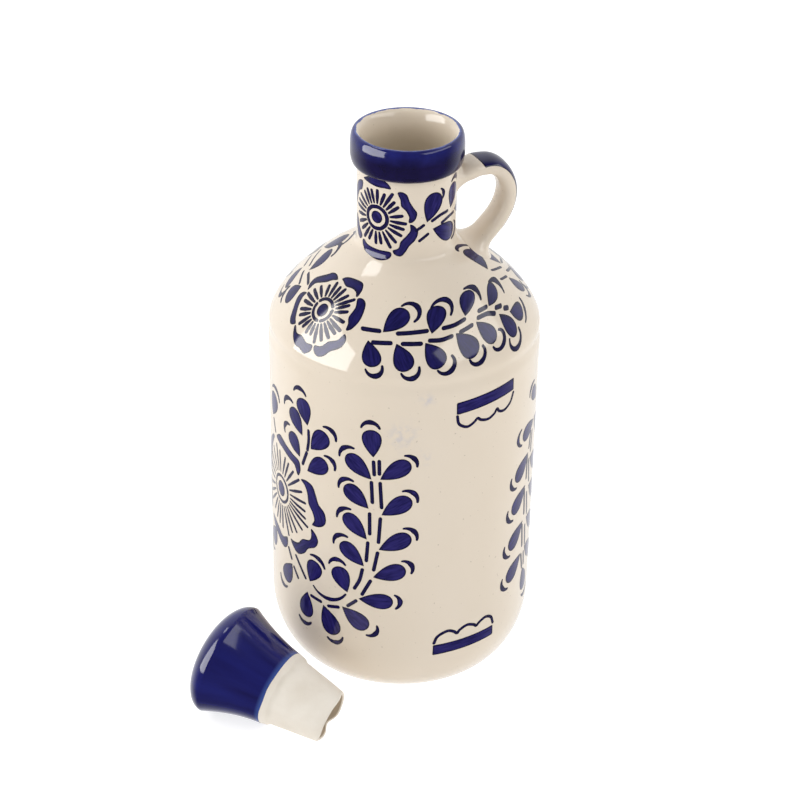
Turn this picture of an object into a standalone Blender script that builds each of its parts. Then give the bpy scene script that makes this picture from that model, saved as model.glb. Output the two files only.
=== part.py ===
"""A handled stoneware bottle with a loose stopper, as the clay pieces it is luted together from.

Metres, +Z up. The bottle stands upright with the centre of its flat base at the origin. Its
loop handle is on the right, turned a little to the back. The stopper lies on its side in front
of the bottle and to the left, on the surface that the bottle stands on.
"""

import math

import bmesh
import bpy
from mathutils import Vector

# ---------------------------------------------------------------- driving dimensions

GAP = 0.0003               # clear space between two neighbouring pieces
BOTTLE_SIDES = 56          # facets round the bottle
STOPPER_SIDES = 36         # facets round the stopper

HEIGHT = 0.2150            # base to mouth
BODY_RADIUS = 0.0499       # at the crease below the shoulder
LOW_RADIUS = 0.0486        # where the wall starts to round under
FOOT_RADIUS = 0.0290       # flat base
ROUNDING_HEIGHT = 0.0283   # height of the rounded bottom edge
CREASE_HEIGHT = 0.1377     # seam between the body and the shoulder
WALL = 0.0040
FLOOR = 0.0052
SEAM_ROUND = 0.0012        # soft edge on both sides of the crease

NECK_RADIUS = 0.0180
BORE_RADIUS = 0.0157
SHOULDER_TOP = 0.1755      # seam between the shoulder and the neck
SHOULDER_RISE = 0.0091     # how far the shoulder starts straight up
SHOULDER_REACH = 0.0148    # how far its slope leans out at the neck
SHOULDER_LEVEL = 0.1634    # height of that slope's control point
FILLET_START = Vector((0.0240, 0.1685))
FILLET_CORNER = Vector((NECK_RADIUS, 0.1715))

COLLAR_HEIGHT = 0.0123
COLLAR_RADIUS = 0.0206
COLLAR_BELLY = 0.2074      # height of the collar's widest ring
COLLAR_CREST = 0.0187      # radius of the highest ring of the mouth
COLLAR_FOOT = 0.0192       # radius of its lower edge
LIP_START = 0.2065         # where the bore starts to open out towards the crest

HANDLE_TURN = math.radians(18)   # from +X towards the back
HANDLE_HALF_WIDTH = 0.0060
HANDLE_HALF_THICKNESS = 0.0033
HANDLE_SECTION_SIDES = 14

HEAD_RADIUS = 0.0217       # widest ring of the stopper's head
HEAD_DOME = 0.0095         # from that ring up to the crown
HEAD_HEIGHT = 0.0318       # crown above the glaze line
HEAD_WALL = 0.0050
HEAD_FLARE = 0.48          # 1 is a straight cone, 0 a full hollow curve
CROWN_FULLNESS = 0.9       # 1 is an elliptic crown, less is squarer
CROWN_STEPS = 6
FLANK_STEPS = 7
SEAT_RADIUS = 0.0148       # the bare band, at the glaze line
SEAT_LOW_RADIUS = 0.0142   # and at its lower edge
SEAT_HEIGHT = 0.0028
SEAT_STEP = 0.0010
STEP_DROP = 0.0013         # from the bare band down to where the shank starts
SHANK_RADIUS = 0.0130      # where the shank starts, below the step
TIP_RADIUS = 0.0105
TIP_ROUND = 0.0010
STOPPER_LENGTH = 0.0538
STOPPER_HOLLOW = 0.0094    # radius of the hollow where the head meets the shank
TIP_HOLLOW = 0.0083

STOPPER_CROWN = Vector((-0.0709, -0.0457))   # where the crown lies, seen from above
STOPPER_HEADING = math.radians(-27.6)        # which way the tip points, seen from above

CREAM_GLAZE = (0.83, 0.79, 0.70)
COBALT_GLAZE = (0.020, 0.018, 0.140)
BARE_CLAY = (0.78, 0.74, 0.65)

SOLIDS = "stoppered_bottle"
CUTTERS = "cutters"


# ---------------------------------------------------------------- helpers

def clear_scene():
    for old in list(bpy.data.objects):
        bpy.data.objects.remove(old, do_unlink=True)


def new_collection(name):
    collection = bpy.data.collections.new(name)
    bpy.context.scene.collection.children.link(collection)
    return collection


def new_material(name, colour, roughness):
    material = bpy.data.materials.new(name)
    material.use_nodes = True
    shader = material.node_tree.nodes["Principled BSDF"]
    shader.inputs["Base Color"].default_value = (*colour, 1.0)
    shader.inputs["Roughness"].default_value = roughness
    shader.inputs["Metallic"].default_value = 0.0
    material.diffuse_color = (*colour, 1.0)
    return material


def bezier(start, pull_start, pull_end, end, count):
    """Points on a cubic curve, both ends included."""
    points = []
    for i in range(count + 1):
        t = i / count
        s = 1 - t
        points.append(s ** 3 * start + 3 * s * s * t * pull_start
                      + 3 * s * t * t * pull_end + t ** 3 * end)
    return points


def ellipse(centre, half_width, half_height, first, last, count):
    """Points on an ellipse from one angle to another, in degrees, both ends included."""
    points = []
    for i in range(count + 1):
        angle = math.radians(first + (last - first) * i / count)
        points.append(centre + Vector((half_width * math.cos(angle), half_height * math.sin(angle))))
    return points


def inset(points, distance):
    """The same open outline moved towards the axis, square to itself."""
    moved = []
    for i, point in enumerate(points):
        along = points[min(i + 1, len(points) - 1)] - points[max(i - 1, 0)]
        moved.append(point + Vector((along.y, -along.x)).normalized() * distance)
    return moved


def lathe(name, outline, closed, sides, collection, material=None):
    """Turn an outline of (radius, height) points about Z. It runs down its outer side."""
    mesh = bpy.data.meshes.new(name)
    edges = [(i, i + 1) for i in range(len(outline) - 1)]
    if closed:
        edges.append((len(outline) - 1, 0))
    mesh.from_pydata([(point.x, 0.0, point.y) for point in outline], edges, [])
    if material:
        mesh.materials.append(material)
    turned = bpy.data.objects.new(name, mesh)
    collection.objects.link(turned)
    screw = turned.modifiers.new("turn", 'SCREW')
    screw.axis = 'Z'
    screw.steps = screw.render_steps = sides
    screw.use_merge_vertices = True
    screw.merge_threshold = 0.00001
    screw.use_smooth_shade = True
    return turned


# ---------------------------------------------------------------- bottle outlines

def base_curve(half_width, half_height, count):
    """The rounded bottom edge, from the wall down to the base."""
    centre = Vector((FOOT_RADIUS, ROUNDING_HEIGHT))
    return ellipse(centre, half_width, half_height, 0, -90, count)


def body_outline():
    top = CREASE_HEIGHT - GAP / 2
    outside = ellipse(Vector((BODY_RADIUS - SEAM_ROUND, top - SEAM_ROUND)),
                      SEAM_ROUND, SEAM_ROUND, 90, 0, 3)
    outside += base_curve(LOW_RADIUS - FOOT_RADIUS, ROUNDING_HEIGHT, 9)
    inside = base_curve(LOW_RADIUS - FOOT_RADIUS - WALL, ROUNDING_HEIGHT - FLOOR, 7)
    inside.reverse()
    return ([Vector((0.0, FLOOR))] + inside + [Vector((BODY_RADIUS - WALL, top))]
            + outside + [Vector((0.0, 0.0))])


def shoulder_curve():
    """The dome from the neck down to just above the crease."""
    fillet = bezier(Vector((NECK_RADIUS, SHOULDER_TOP - GAP / 2)), FILLET_CORNER,
                    FILLET_CORNER, FILLET_START, 4)
    foot = CREASE_HEIGHT + GAP / 2 + SEAM_ROUND
    dome = bezier(FILLET_START, Vector((NECK_RADIUS + SHOULDER_REACH, SHOULDER_LEVEL)),
                  Vector((BODY_RADIUS, foot + SHOULDER_RISE)), Vector((BODY_RADIUS, foot)), 9)
    return fillet + dome[1:]


def shoulder_outline():
    outside = shoulder_curve()
    inside = inset(outside, WALL)[:-1:2]
    inside[0] = Vector((BORE_RADIUS, SHOULDER_TOP - GAP / 2))
    inside = [point for point in inside if point.x >= BORE_RADIUS]
    foot = CREASE_HEIGHT + GAP / 2
    edge = ellipse(Vector((BODY_RADIUS - SEAM_ROUND, foot + SEAM_ROUND)),
                   SEAM_ROUND, SEAM_ROUND, 0, -90, 3)
    inside.append(Vector((BODY_RADIUS - WALL, foot)))
    inside.reverse()
    return outside + edge[1:] + inside


def neck_outline():
    top = HEIGHT - COLLAR_HEIGHT - GAP / 2
    foot = SHOULDER_TOP + GAP / 2
    return [Vector((BORE_RADIUS, top)), Vector((NECK_RADIUS, top)),
            Vector((NECK_RADIUS, foot)), Vector((BORE_RADIUS, foot))]


def collar_outer_curve():
    """The rolled outside of the mouth, from its crest down to its lower edge."""
    crest = Vector((COLLAR_CREST, HEIGHT))
    belly = Vector((COLLAR_RADIUS, COLLAR_BELLY))
    foot = Vector((COLLAR_FOOT, HEIGHT - COLLAR_HEIGHT + GAP / 2))
    upper = bezier(crest, Vector((COLLAR_RADIUS, HEIGHT)),
                   Vector((COLLAR_RADIUS, (HEIGHT + COLLAR_BELLY) / 2)), belly, 6)
    lower = bezier(belly, Vector((COLLAR_RADIUS, (COLLAR_BELLY + foot.y) / 2)),
                   Vector(((COLLAR_RADIUS + COLLAR_FOOT) / 2, foot.y)), foot, 4)
    return upper + lower[1:]


def collar_outline():
    lip = bezier(Vector((BORE_RADIUS, LIP_START)), Vector((BORE_RADIUS, (LIP_START + HEIGHT) / 2)),
                 Vector(((BORE_RADIUS + COLLAR_CREST) / 2, HEIGHT)), Vector((COLLAR_CREST, HEIGHT)), 5)
    foot = Vector((BORE_RADIUS, HEIGHT - COLLAR_HEIGHT + GAP / 2))
    return lip + collar_outer_curve()[1:] + [foot]


# ---------------------------------------------------------------- handle

def handle_path():
    """Bezier points in the handle's own plane: place, pull towards the next point, and scale."""
    return [
        (Vector((0.0164, 0.1948)), Vector((0.0030, 0.0003)), 1.95),
        (Vector((0.0226, 0.1968)), Vector((0.0024, 0.0009)), 1.20),
        (Vector((0.0298, 0.1980)), Vector((0.0046, -0.0002)), 1.00),
        (Vector((0.0379, 0.1872)), Vector((0.0000, -0.0048)), 1.00),
        (Vector((0.0325, 0.1741)), Vector((-0.0033, -0.0040)), 1.06),
        (Vector((0.0240, 0.1650)), Vector((-0.0030, -0.0030)), 1.55),
    ]


def handle_section(collection):
    """The strap's oval section."""
    section = bpy.data.curves.new("handle_section", 'CURVE')
    section.dimensions = '2D'
    spline = section.splines.new('POLY')
    spline.points.add(HANDLE_SECTION_SIDES - 1)
    for i, point in enumerate(spline.points):
        angle = math.tau * i / HANDLE_SECTION_SIDES
        point.co = (HANDLE_HALF_THICKNESS * math.cos(angle), HANDLE_HALF_WIDTH * math.sin(angle), 0, 1)
    spline.use_cyclic_u = True
    guide = bpy.data.objects.new("handle_section", section)
    guide.hide_render = True
    guide.display_type = 'WIRE'
    collection.objects.link(guide)
    return guide


def swept_handle(section, collection, material):
    """The strap before its ends are trimmed, swept and then made a mesh."""
    curve = bpy.data.curves.new("handle_path", 'CURVE')
    curve.dimensions = '3D'
    curve.resolution_u = 5
    curve.bevel_mode = 'OBJECT'
    curve.bevel_object = section
    curve.use_fill_caps = True
    spline = curve.splines.new('BEZIER')
    path = handle_path()
    spline.bezier_points.add(len(path) - 1)
    for point, (place, pull, scale) in zip(spline.bezier_points, path):
        point.co = (place.x, place.y, 0)
        point.handle_left = (place.x - pull.x, place.y - pull.y, 0)
        point.handle_right = (place.x + pull.x, place.y + pull.y, 0)
        point.radius = scale
    sweep = bpy.data.objects.new("handle_path", curve)
    sweep.rotation_euler = (math.radians(90), 0, HANDLE_TURN)
    collection.objects.link(sweep)

    bpy.context.view_layer.update()
    evaluated = sweep.evaluated_get(bpy.context.evaluated_depsgraph_get())
    mesh = bpy.data.meshes.new_from_object(evaluated)
    mesh.name = "handle_loop"
    welded = bmesh.new()
    welded.from_mesh(mesh)
    bmesh.ops.remove_doubles(welded, verts=welded.verts, dist=0.00001)
    bmesh.ops.recalc_face_normals(welded, faces=welded.faces)
    welded.to_mesh(mesh)
    welded.free()
    mesh.materials.clear()
    mesh.materials.append(material)
    mesh.shade_smooth()
    handle = bpy.data.objects.new("handle_loop", mesh)
    handle.matrix_world = sweep.matrix_world.copy()
    collection.objects.link(handle)
    bpy.data.objects.remove(sweep, do_unlink=True)
    return handle


def trimming_outline():
    """The outside of the shoulder, neck and collar, a gap larger, closed on the axis."""
    collar = [point + Vector((GAP, 0)) for point in collar_outer_curve()[3:]]
    collar[-1] -= Vector((0, GAP))
    neck_top = Vector((NECK_RADIUS + GAP, HEIGHT - COLLAR_HEIGHT - GAP))
    shoulder = [point + Vector((GAP, GAP)) for point in shoulder_curve()]
    top = Vector((collar[0].x, HEIGHT + COLLAR_HEIGHT))
    bottom = Vector((BODY_RADIUS + GAP, CREASE_HEIGHT))
    return [Vector((0, top.y)), top] + collar + [neck_top] + shoulder + [bottom, Vector((0, bottom.y))]


def make_handle(solids, cutters, material):
    handle = swept_handle(handle_section(cutters), solids, material)
    cutter = lathe("handle_trim", trimming_outline(), False, BOTTLE_SIDES, cutters)
    cutter.hide_render = True
    cutter.display_type = 'WIRE'
    trim = handle.modifiers.new("trim", 'BOOLEAN')
    trim.object = cutter
    trim.operation = 'DIFFERENCE'
    trim.solver = 'EXACT'
    return handle


# ---------------------------------------------------------------- stopper, upright, glaze line at 0

def head_outline():
    """A domed, flared head with a blind hollow that opens into the shank."""
    ring = HEAD_HEIGHT - HEAD_DOME
    outside = []
    for i in range(CROWN_STEPS + 1):
        angle = math.pi / 2 * i / CROWN_STEPS
        outside.append(Vector((HEAD_RADIUS * math.sin(angle) ** CROWN_FULLNESS,
                               ring + HEAD_DOME * math.cos(angle))))
    for i in range(1, FLANK_STEPS + 1):
        left = 1 - i / FLANK_STEPS
        flare = HEAD_FLARE * left + (1 - HEAD_FLARE) * left * left
        outside.append(Vector((SEAT_RADIUS + (HEAD_RADIUS - SEAT_RADIUS) * flare, ring * left)))
    outside[-1].y = GAP / 2
    crown = HEAD_HEIGHT - HEAD_WALL
    round_top = ellipse(Vector((0, crown - STOPPER_HOLLOW)), STOPPER_HOLLOW, STOPPER_HOLLOW, 0, 90, 5)
    round_top[-1].x = 0.0
    return outside + [Vector((STOPPER_HOLLOW, GAP / 2))] + round_top


def shank_outline():
    """The bare band, its step and the tapered tube, open at both ends."""
    tip = HEAD_HEIGHT - STOPPER_LENGTH
    top = -GAP / 2
    step = ellipse(Vector((SEAT_LOW_RADIUS - SEAT_STEP, -SEAT_HEIGHT)), SEAT_STEP, SEAT_STEP, 0, -80, 3)
    rounding = ellipse(Vector((TIP_RADIUS - TIP_ROUND, tip + TIP_ROUND)),
                       TIP_ROUND, TIP_ROUND, 0, -90, 3)
    return ([Vector((SEAT_RADIUS, top))] + step
            + [Vector((SHANK_RADIUS, -SEAT_HEIGHT - STEP_DROP))] + rounding
            + [Vector((TIP_HOLLOW, tip + TIP_ROUND / 2)), Vector((STOPPER_HOLLOW, top))])


def stopper_frame(collection):
    """An empty at the glaze line of the stopper, which lies on its head's rim and on its tip."""
    ring = HEAD_DOME
    tip = STOPPER_LENGTH - TIP_ROUND
    tilt = math.atan2(HEAD_RADIUS - TIP_RADIUS, tip - ring)
    crown_height = ring * math.sin(tilt) + HEAD_RADIUS * math.cos(tilt)
    towards_tip = Vector((math.cos(tilt) * math.cos(STOPPER_HEADING),
                          math.cos(tilt) * math.sin(STOPPER_HEADING), -math.sin(tilt)))
    frame = bpy.data.objects.new("stopper_frame", None)
    frame.location = Vector((*STOPPER_CROWN, crown_height)) + towards_tip * HEAD_HEIGHT
    frame.rotation_euler = (0, tilt - math.pi / 2, STOPPER_HEADING)
    collection.objects.link(frame)
    return frame


# ---------------------------------------------------------------- the whole bottle

def main():
    clear_scene()
    solids = new_collection(SOLIDS)
    cutters = new_collection(CUTTERS)
    cream = new_material("cream_glaze", CREAM_GLAZE, 0.12)
    cobalt = new_material("cobalt_glaze", COBALT_GLAZE, 0.10)
    clay = new_material("bare_clay", BARE_CLAY, 0.75)

    lathe("body_cylinder", body_outline(), False, BOTTLE_SIDES, solids, cream)
    lathe("shoulder_dome", shoulder_outline(), True, BOTTLE_SIDES, solids, cream)
    lathe("neck_tube", neck_outline(), True, BOTTLE_SIDES, solids, cream)
    lathe("mouth_collar", collar_outline(), True, BOTTLE_SIDES, solids, cobalt)
    make_handle(solids, cutters, cream)

    frame = stopper_frame(solids)
    head = lathe("stopper_head", head_outline(), False, STOPPER_SIDES, solids, cobalt)
    head.parent = frame
    shank = lathe("stopper_shank", shank_outline(), True, STOPPER_SIDES, solids, clay)
    shank.parent = frame


main()
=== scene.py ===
"""The looks of a handled, painted stoneware bottle and its loose stopper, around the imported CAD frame.

Metres, +Z up. Painted motifs are drawn in millimetres on the unrolled surface: x runs round the
bottle, y up along its outline, from a place given by an angle and a distance along the outline.
"""

import math
import random

import bpy
import numpy as np
from mathutils import Matrix, Vector, noise
from mathutils.geometry import delaunay_2d_cdt


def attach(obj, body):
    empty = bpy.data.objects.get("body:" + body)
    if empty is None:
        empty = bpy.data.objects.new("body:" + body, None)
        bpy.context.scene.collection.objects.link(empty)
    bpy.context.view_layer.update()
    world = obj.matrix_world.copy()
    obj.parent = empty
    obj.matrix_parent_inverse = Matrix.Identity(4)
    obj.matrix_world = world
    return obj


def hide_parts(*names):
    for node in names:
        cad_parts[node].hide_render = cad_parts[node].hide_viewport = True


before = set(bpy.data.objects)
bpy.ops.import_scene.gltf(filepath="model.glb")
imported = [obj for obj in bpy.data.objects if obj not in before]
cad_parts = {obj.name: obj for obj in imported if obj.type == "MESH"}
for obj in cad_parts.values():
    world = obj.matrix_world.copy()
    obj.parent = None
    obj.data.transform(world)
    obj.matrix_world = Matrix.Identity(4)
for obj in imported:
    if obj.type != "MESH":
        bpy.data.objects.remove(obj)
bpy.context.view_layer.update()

MM = 0.001

# ---------------------------------------------------------------- the frame's dimensions

HEIGHT = 0.2150
BODY_RADIUS = 0.0499
LOW_RADIUS = 0.0486
FOOT_RADIUS = 0.0290
ROUNDING_HEIGHT = 0.0283
CREASE_HEIGHT = 0.1377
WALL = 0.0040
FLOOR = 0.0052
SEAM_ROUND = 0.0012
NECK_RADIUS = 0.0180
BORE_RADIUS = 0.0157
SHOULDER_TOP = 0.1755
SHOULDER_RISE = 0.0091
SHOULDER_REACH = 0.0148
SHOULDER_LEVEL = 0.1634
FILLET_START = (0.0240, 0.1685)
FILLET_CORNER = (NECK_RADIUS, 0.1715)
COLLAR_HEIGHT = 0.0123
COLLAR_RADIUS = 0.0206
COLLAR_BELLY = 0.2074
COLLAR_CREST = 0.0187
COLLAR_FOOT = 0.0192
LIP_START = 0.2065
HANDLE_TURN = math.radians(18)
HANDLE_HALF_WIDTH = 0.0060
HANDLE_HALF_THICKNESS = 0.0033
HEAD_RADIUS = 0.0217
HEAD_DOME = 0.0095
HEAD_HEIGHT = 0.0318
HEAD_WALL = 0.0050
HEAD_FLARE = 0.48
SEAT_RADIUS = 0.0148
SEAT_LOW_RADIUS = 0.0142
SEAT_HEIGHT = 0.0028
SHANK_RADIUS = 0.0130
TIP_RADIUS = 0.0105
TIP_ROUND = 0.0010
STOPPER_LENGTH = 0.0538
STOPPER_HOLLOW = 0.0094
TIP_HOLLOW = 0.0083
TIP_WALL = 0.0014          # at the torn end of the shank
TONGUE_LENGTH = 0.0018     # the end reaches further on one side
TONGUE_SIDE = math.radians(308)
CHIP_DEPTH = 0.0019        # and is chipped away on another
CHIP_SIDE = math.radians(148)
CHIP_WIDTH = math.radians(17)
TORN_WAVE = 0.0001         # how rough that end is
STEP_WAVE = 0.0008         # how unevenly the step under the seat runs
GLAZE_WAVE = 0.0004        # and the glaze line above it
GLAZE_WAVE_REACH = 0.008
SEAT_WAVE = 0.0003         # and the top of the bare band, under the glaze
STOPPER_CROWN = (-0.0709, -0.0457)
STOPPER_HEADING = math.radians(-27.6)

HOLLOW_DEPTH = 0.00048     # at the crease between body and shoulder
HOLLOW_WIDTH = 0.0025
BEAD_HEIGHT = 0.00008      # the low bead under that crease
BEAD_WIDTH = 0.0022
BEAD_DROP = 0.0048
BOTTLE_SIDES = 256
STOPPER_SIDES = 192
PAINT_LIFT = 0.00003       # how far the painted glaze stands off the cream
PAINT_DEPTH = 0.00030      # how far its closed underside is sunk


# ---------------------------------------------------------------- outlines

def bezier(start, pull_start, pull_end, end, count):
    t = np.linspace(0, 1, count + 1)[:, None]
    s = 1 - t
    return (s ** 3 * np.array(start) + 3 * s * s * t * np.array(pull_start)
            + 3 * s * t * t * np.array(pull_end) + t ** 3 * np.array(end))


def ellipse(centre, half_width, half_height, first, last, count):
    angle = np.radians(np.linspace(first, last, count + 1))
    return np.stack([centre[0] + half_width * np.cos(angle),
                     centre[1] + half_height * np.sin(angle)], 1)


def straight(start, end, count):
    return np.linspace(start, end, count + 1)


def inset(points, distance):
    """The same outline moved towards the axis, square to itself."""
    along = np.gradient(points, axis=0)
    across = np.stack([along[:, 1], -along[:, 0]], 1)
    return points + across / np.linalg.norm(across, axis=1)[:, None] * distance


def with_relief(points):
    """The soft hollow at the crease and the low bead under it."""
    z = points[:, 1] - CREASE_HEIGHT
    bead = BEAD_HEIGHT * np.exp(-((z + BEAD_DROP) / BEAD_WIDTH) ** 2)
    hollow = HOLLOW_DEPTH * np.exp(-(z / HOLLOW_WIDTH) ** 2)
    return np.stack([points[:, 0] + bead - hollow, points[:, 1]], 1)


def shoulder_curve(count):
    """The dome from the neck down to the crease."""
    foot = CREASE_HEIGHT + SEAM_ROUND
    fillet = bezier((NECK_RADIUS, SHOULDER_TOP), FILLET_CORNER, FILLET_CORNER, FILLET_START, count)
    dome = bezier(FILLET_START, (NECK_RADIUS + SHOULDER_REACH, SHOULDER_LEVEL),
                  (BODY_RADIUS, foot + SHOULDER_RISE), (BODY_RADIUS, foot), 2 * count)
    edge = straight((BODY_RADIUS, foot), (BODY_RADIUS, CREASE_HEIGHT), 5)
    return with_relief(np.vstack([fillet, dome[1:], edge[1:]]))


def collar_curve(count):
    """The rolled outside of the mouth, from its crest down to its lower edge."""
    foot = HEIGHT - COLLAR_HEIGHT
    upper = bezier((COLLAR_CREST, HEIGHT), (COLLAR_RADIUS, HEIGHT),
                   (COLLAR_RADIUS, (HEIGHT + COLLAR_BELLY) / 2), (COLLAR_RADIUS, COLLAR_BELLY), count)
    lower = bezier((COLLAR_RADIUS, COLLAR_BELLY), (COLLAR_RADIUS, (COLLAR_BELLY + foot) / 2),
                   ((COLLAR_RADIUS + COLLAR_FOOT) / 2, foot), (COLLAR_FOOT, foot), count)
    return np.vstack([upper, lower[1:]])


class Skin:
    """The outside of the turned bottle. Its arc length is equal to the height where the wall starts."""

    def __init__(self):
        base = ellipse((FOOT_RADIUS, ROUNDING_HEIGHT), LOW_RADIUS - FOOT_RADIUS,
                       ROUNDING_HEIGHT, -90, 0, 120)
        wall = with_relief(straight((LOW_RADIUS, ROUNDING_HEIGHT), (BODY_RADIUS, CREASE_HEIGHT), 400))
        neck = straight((NECK_RADIUS, SHOULDER_TOP), (NECK_RADIUS, HEIGHT), 100)
        self.points = np.vstack([base, wall[1:], shoulder_curve(120)[::-1], neck[1:]])
        step = np.linalg.norm(np.diff(self.points, axis=0), axis=1)
        self.length = np.concatenate([[0], np.cumsum(step)])
        self.length += ROUNDING_HEIGHT - self.length[len(base) - 1]
        along = np.gradient(self.points, axis=0)
        across = np.stack([along[:, 1], -along[:, 0]], 1)
        self.normals = across / np.linalg.norm(across, axis=1)[:, None]

    def place(self, angle, length, lift):
        """Points and normals on the bottle at these angles and distances along the outline."""
        r, z = (np.interp(length, self.length, self.points[:, i]) for i in (0, 1))
        nr, nz = (np.interp(length, self.length, self.normals[:, i]) for i in (0, 1))
        r, z = r + nr * lift, z + nz * lift
        return (np.stack([r * np.cos(angle), r * np.sin(angle), z], 1),
                np.stack([nr * np.cos(angle), nr * np.sin(angle), nz], 1))

    def unroll(self, points, turn, start):
        """The angle and the distance along the outline of points drawn in millimetres."""
        length = start * MM + points[:, 1] * MM
        radius = np.interp(length, self.length, self.points[:, 0])
        return math.radians(turn) + points[:, 0] * MM / radius, length

    def distance(self, points):
        """How far points are outside the bottle, and the nearest normals."""
        flat = np.stack([np.hypot(points[:, 0], points[:, 1]), points[:, 2]], 1)
        gap = flat[:, None] - self.points[None]
        nearest = np.argmin((gap ** 2).sum(2), 1)
        normal = self.normals[nearest]
        out = ((flat - self.points[nearest]) * normal).sum(1)
        away = points[:, :2] / flat[:, :1]
        return out, np.concatenate([away * normal[:, :1], normal[:, 1:]], 1)


SKIN = Skin()


# ---------------------------------------------------------------- meshes

def new_piece(name, points, faces, material, body, smooth_angle=40):
    mesh = bpy.data.meshes.new(name)
    mesh.from_pydata([tuple(p) for p in points], [], faces)
    mesh.materials.append(material)
    mesh.shade_smooth()
    mesh.set_sharp_from_angle(angle=math.radians(smooth_angle))
    piece = bpy.data.objects.new(name, mesh)
    bpy.context.scene.collection.objects.link(piece)
    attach(piece, body)
    return piece


def turned(outline, closed, sides, warp=None):
    """Vertices and faces of an outline turned about Z. An open outline starts and ends on the axis."""
    rows = outline if closed else outline[1:-1]
    angle = np.arange(sides) * math.tau / sides
    points = np.stack([np.outer(rows[:, 0], np.cos(angle)), np.outer(rows[:, 0], np.sin(angle)),
                       np.repeat(rows[:, 1:], sides, 1)], 2).reshape(-1, 3)
    faces = []
    count = len(rows)
    for i in range(count if closed else count - 1):
        j = (i + 1) % count
        for k in range(sides):
            m = (k + 1) % sides
            faces.append((i * sides + k, j * sides + k, j * sides + m, i * sides + m))
    if not closed:
        points = np.vstack([points, [(0, 0, outline[0, 1]), (0, 0, outline[-1, 1])]])
        first, last = len(points) - 2, len(points) - 1
        for k in range(sides):
            m = (k + 1) % sides
            faces.append((first, k, m))
            faces.append((last, (count - 1) * sides + m, (count - 1) * sides + k))
    if warp:
        points = np.array([warp(Vector(p)) for p in points])
    return points, faces


def ring_faces(sides, count):
    """Faces between rings of points that each run once round a closed outline."""
    faces = []
    for k in range(sides):
        m = (k + 1) % sides
        for i in range(count):
            j = (i + 1) % count
            faces.append((k * count + i, k * count + j, m * count + j, m * count + i))
    return faces


def set_values(piece, name, values):
    attribute = piece.data.attributes.new(name, 'FLOAT', 'POINT')
    attribute.data.foreach_set("value", np.asarray(values, np.float32))


def set_vectors(piece, name, values):
    attribute = piece.data.attributes.new(name, 'FLOAT_VECTOR', 'POINT')
    attribute.data.foreach_set("vector", np.asarray(values, np.float32).ravel())


# ---------------------------------------------------------------- brush strokes, in millimetres

def smooth_line(points, count, closed=False):
    """A Catmull-Rom curve through the points."""
    points = np.array(points, float)
    if closed:
        padded = np.vstack([points[-1], points, points[:2]])
    else:
        padded = np.vstack([2 * points[0] - points[1], points, 2 * points[-1] - points[-2]])
    result = []
    for i in range(len(padded) - 3):
        a, b, c, d = padded[i:i + 4]
        for t in np.arange(count) / count:
            result.append(0.5 * (2 * b + (c - a) * t + (2 * a - 5 * b + 4 * c - d) * t * t
                                 + (3 * b - a - 3 * c + d) * t ** 3))
    if not closed:
        result.append(points[-1])
    return np.array(result)


def stroke(points, widths, count=8):
    """A line drawn with a round brush. widths is one width, or those at the start, middle and end."""
    line = smooth_line(points, count)
    step = np.concatenate([[0], np.cumsum(np.linalg.norm(np.diff(line, axis=0), axis=1))])
    half = np.interp(step / step[-1], (0, 0.5, 1), np.broadcast_to(widths, 3)) / 2
    along = np.gradient(line, axis=0)
    along /= np.linalg.norm(along, axis=1)[:, None]
    across = np.stack([-along[:, 1], along[:, 0]], 1)
    turn = np.radians(np.arange(30, 180, 30))[:, None]
    tail = line[0] + half[0] * (np.cos(turn) * across[0] - np.sin(turn) * along[0])
    tip = line[-1] + half[-1] * (-np.cos(turn) * across[-1] + np.sin(turn) * along[-1])
    left = line + across * half[:, None]
    right = line - across * half[:, None]
    return np.vstack([right, tip, left[::-1], tail])


def leaf(tip, far, width):
    """A drop: pointed where it leaves the stem, round at its far end."""
    tip, far = np.array(tip, float), np.array(far, float)
    t = np.arange(48)[:, None] * math.tau / 48
    along = far - tip
    across = np.array([-along[1], along[0]]) / np.linalg.norm(along)
    return tip + along * (1 - np.cos(t)) / 2 + across * width / 2 * np.sin(t) * np.sin(t / 2) / 0.77


def crescent(start, middle, end, width=2.1):
    """The arc through three points, thickest in its middle."""
    a, u, v = np.array(start, float), np.subtract(middle, start), np.subtract(end, start)
    uu, vv, twice = u @ u, v @ v, 2 * (u[0] * v[1] - u[1] * v[0])
    centre = a + np.array([v[1] * uu - u[1] * vv, u[0] * vv - v[0] * uu]) / twice
    first, last = (math.degrees(math.atan2(*(np.array(p) - centre)[::-1])) for p in (start, end))
    sweep = (last - first) % 360 - (360 if twice < 0 else 0)
    radius = np.linalg.norm(a - centre)
    return stroke(ellipse(centre, radius, radius, first, first + sweep, 10),
                  (0.38 * width, width, 0.45 * width), 2)


def blob(points, count=8):
    return smooth_line(points, count, closed=True)


def dot(x, y, half_width, half_height):
    return ellipse((x, y), half_width, half_height, 0, 345, 23)


def ring(x, y, radius, width, arcs, squash=1.0):
    """Arcs of a circle, from one angle to another in degrees, drawn one by one."""
    return [stroke(ellipse((x, y), radius, radius * squash, a, b, 5), width, 4) for a, b in arcs]


def rays(pairs, width):
    """Short strokes that widen from the ring outwards."""
    return [stroke([a, b], (0.55 * width, width, 0.85 * width), 4) for a, b in pairs]


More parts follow.
